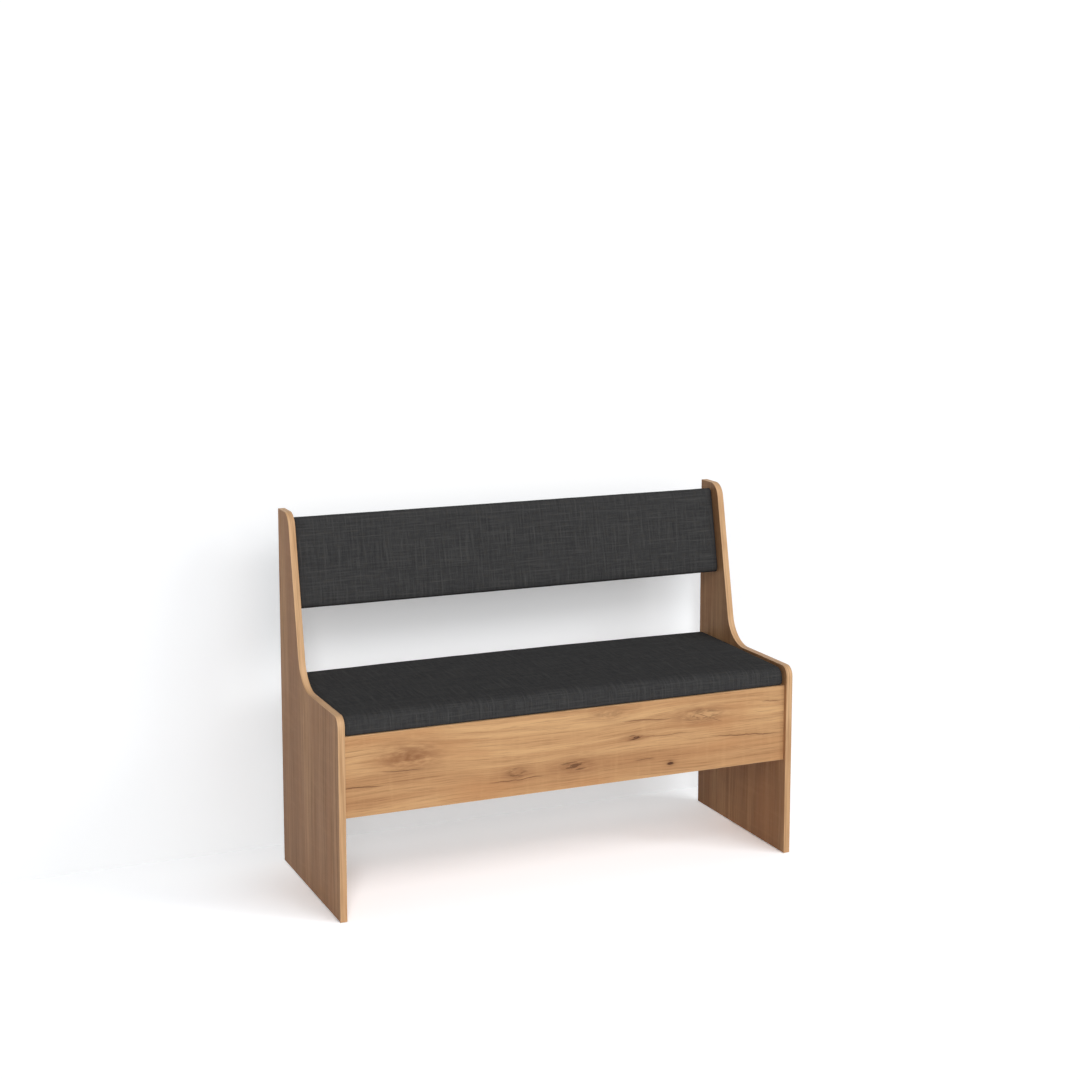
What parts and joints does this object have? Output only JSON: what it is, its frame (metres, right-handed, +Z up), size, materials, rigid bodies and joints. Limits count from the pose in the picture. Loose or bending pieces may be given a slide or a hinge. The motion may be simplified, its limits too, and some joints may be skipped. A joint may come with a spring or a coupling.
{
  "type": "storage bench",
  "caption": "Straight storage bench: shaped oak-decor side panels, a chest under a hinged padded seat, and a leaning padded backrest.",
  "frame": {"origin": "on the floor, under the middle of the bench's bounding box", "axes": "+X along the bench, +Y from its front to its rear, +Z up"},
  "size_m": [1.13, 0.435, 0.85],
  "materials": {
    "side_oak": "matt laminate, golden oak decor, upright grain",
    "edge_oak": "satin edge band, golden oak decor",
    "front_oak": "matt laminate, golden oak decor, lengthwise grain with knots",
    "carcass_oak": "matt laminate, golden oak decor",
    "chipboard": "raw chipboard",
    "beech": "fluted beech",
    "cover_fabric": "charcoal woven upholstery with a fine slub",
    "lining_fabric": "black non-woven lining",
    "foam": "open-cell foam",
    "glide_plastic": "matt",
    "cam_zinc": "die-cast zinc, matt",
    "bolt_steel": "zinc plated",
    "hinge_steel": "zinc plated",
    "screw_zinc": "zinc plated",
    "staple_steel": "galvanised wire"
  },
  "bodies": {
    "bench_frame": {"side_panel_left": "side_oak", "side_panel_right": "side_oak", "edge_band_left_front": "edge_oak", "edge_band_right_front": "edge_oak", "edge_band_left_rear": "edge_oak", "edge_band_right_rear": "edge_oak", "floor_glides": "glide_plastic", "front_panel": "front_oak", "front_panel_edge_bands": "edge_oak", "rear_panel": "carcass_oak", "rear_panel_edge_bands": "edge_oak", "bottom_panel": "carcass_oak", "cam_housings": "cam_zinc", "cam_bolts": "bolt_steel", "wood_dowels": "beech", "backrest_board": "chipboard", "backrest_foam": "foam", "backrest_cover": "cover_fabric", "backrest_lining": "lining_fabric", "backrest_staples": "staple_steel", "hinge_leaves_fixed": "hinge_steel", "hinge_pins": "hinge_steel", "hinge_screws_panel": "screw_zinc"},
    "seat_lid": {"seat_board": "chipboard", "seat_foam": "foam", "seat_cover": "cover_fabric", "seat_lining": "lining_fabric", "seat_staples": "staple_steel", "hinge_leaves_moving": "hinge_steel", "hinge_screws_seat": "screw_zinc"}
  },
  "joints": [
    {"name": "lid_hinge", "type": "hinge", "parent": "bench_frame", "child": "seat_lid", "pos_m": [0, 0.1755, 0.4103], "axis": [-1, 0, 0], "range_deg": [0, 58]}
  ]
}
